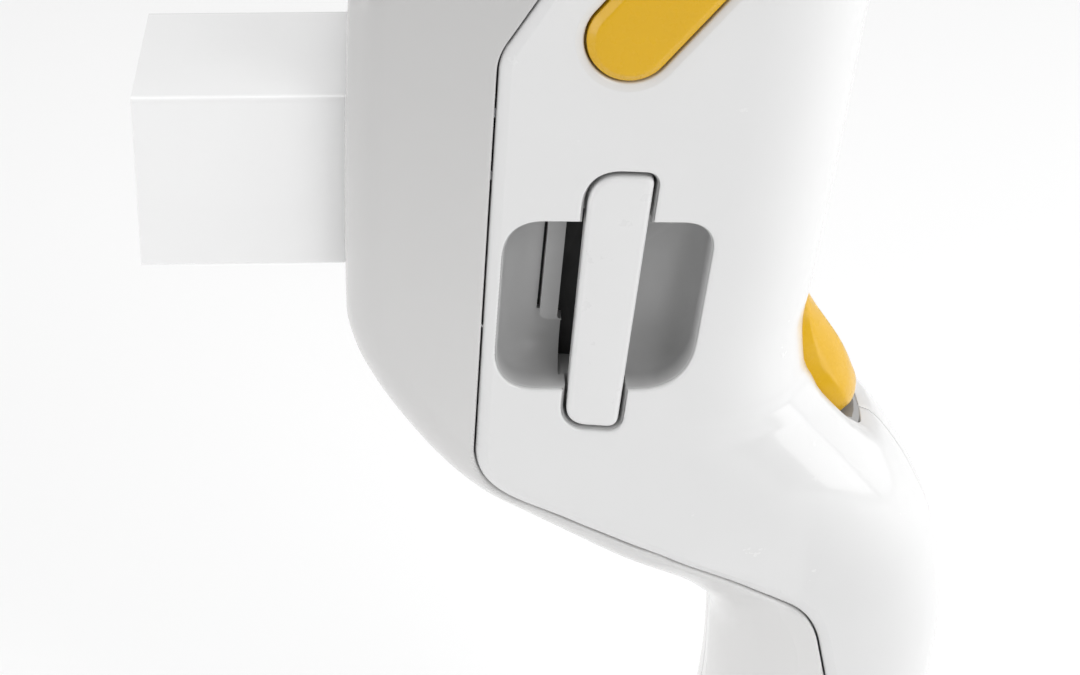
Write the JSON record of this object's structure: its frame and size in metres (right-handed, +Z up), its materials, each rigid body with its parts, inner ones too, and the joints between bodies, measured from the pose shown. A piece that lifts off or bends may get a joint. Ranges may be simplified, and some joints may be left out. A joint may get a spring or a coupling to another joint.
{
  "type": "pulsed light hair removal handpiece",
  "caption": "Pistol-shaped pulsed-light hair removal handpiece with a clear light guide, a pull-out filter cassette, side release buttons and a rear trigger.",
  "frame": {"origin": "centre of the light guide's flat exit face", "axes": "-X is the way the light leaves, +Y is the device's right side, +Z runs up from the handle to the top of the head"},
  "size_m": [0.133, 0.056, 0.251],
  "materials": {
    "pearl_housing": "glossy pearl light grey",
    "white_cover": "glossy pale grey white",
    "yellow_button": "glossy golden yellow",
    "grey_plastic": "satin mid grey",
    "black_rubber": "matt black",
    "crystal": "polished clear",
    "filter_glass": "polished orange",
    "quartz": "polished clear",
    "silver_mirror": "mirror",
    "aluminium": "satin",
    "steel": "satin",
    "board_green": "satin green",
    "black_plastic": "satin black",
    "ceramic": "matt off-white",
    "hose_tube": "satin translucent grey",
    "lead_red": "matt red"
  },
  "bodies": {
    "body": {"housing_left": "pearl_housing", "housing_right": "pearl_housing", "side_cover_left": "white_cover", "side_cover_right": "white_cover", "case_screw_1": "steel", "case_screw_2": "steel", "case_screw_3": "steel", "case_screw_4": "steel", "case_screw_5": "steel", "handle_end_cap": "pearl_housing", "cable_gland": "grey_plastic", "gland_nut": "steel", "nose_seal": "black_rubber", "light_guide_holder": "aluminium", "lever_pin_left": "steel", "lever_pin_right": "steel", "release_spring_left": "steel", "release_spring_right": "steel", "release_seat": "grey_plastic", "filter_pocket": "grey_plastic", "filter_rail_upper": "aluminium", "filter_rail_lower": "aluminium", "mirror_duct": "silver_mirror", "lamp_reflector": "silver_mirror", "lamp_jacket": "aluminium", "flash_lamp": "quartz", "lamp_holder_upper": "ceramic", "lamp_holder_lower": "ceramic", "lamp_contact_upper": "steel", "lamp_contact_lower": "steel", "trigger_pin": "steel", "trigger_pocket": "grey_plastic", "trigger_switch": "black_plastic", "trigger_spring": "steel", "circuit_board": "board_green", "trigger_transformer": "black_plastic", "storage_capacitor": "board_green", "hose_manifold": "aluminium", "coolant_supply": "hose_tube", "coolant_return": "hose_tube", "lamp_lead": "lead_red"},
    "light_guide": {"light_guide": "crystal"},
    "filter_cassette": {"filter_handle": "white_cover", "filter_frame": "grey_plastic", "filter_glass": "filter_glass"},
    "trigger": {"trigger_button": "yellow_button"},
    "plunger": {"switch_plunger": "ceramic"},
    "button_left": {"release_button_left": "yellow_button"},
    "button_right": {"release_button_right": "yellow_button"},
    "lever_left": {"release_lever_left": "steel"},
    "lever_right": {"release_lever_right": "steel"}
  },
  "joints": [
    {"name": "light_guide_slide", "type": "slide", "parent": "body", "child": "light_guide", "axis": [-1, 0, 0], "range_m": [0, 0.045]},
    {"name": "filter_slide", "type": "slide", "parent": "body", "child": "filter_cassette", "axis": [0, -1, 0], "range_m": [0, 0.045]},
    {"name": "trigger_press", "type": "hinge", "parent": "body", "child": "trigger", "pos_m": [0.1054, 0, -0.0284], "axis": [0, 1, 0], "range_deg": [0, 5], "stiffness_Nm_per_rad": 0.35, "deforming": ["trigger_spring"]},
    {"name": "plunger_press", "type": "slide", "parent": "body", "child": "plunger", "axis": [-1, 0, 0], "range_m": [0, 0.0014]},
    {"name": "release_left_press", "type": "slide", "parent": "body", "child": "button_left", "axis": [0, 1, 0], "range_m": [0, 0.002], "stiffness_N_per_m": 800, "deforming": ["release_spring_left"]},
    {"name": "release_right_press", "type": "slide", "parent": "body", "child": "button_right", "axis": [0, -1, 0], "range_m": [0, 0.002], "stiffness_N_per_m": 800, "deforming": ["release_spring_right"]},
    {"name": "lever_left_pivot", "type": "hinge", "parent": "body", "child": "lever_left", "pos_m": [0.057, -0.0213, 0.009], "axis": [0, 0, 1], "range_deg": [0, 6]},
    {"name": "lever_right_pivot", "type": "hinge", "parent": "body", "child": "lever_right", "pos_m": [0.057, 0.0213, 0.009], "axis": [0, 0, -1], "range_deg": [0, 6]}
  ],
  "couplings": [
    {"joint": "plunger_press", "follows": "trigger_press", "m_per_rad": 0.0141},
    {"joint": "lever_left_pivot", "follows": "release_left_press", "rad_per_m": 47.6},
    {"joint": "lever_right_pivot", "follows": "release_right_press", "rad_per_m": 47.6}
  ]
}
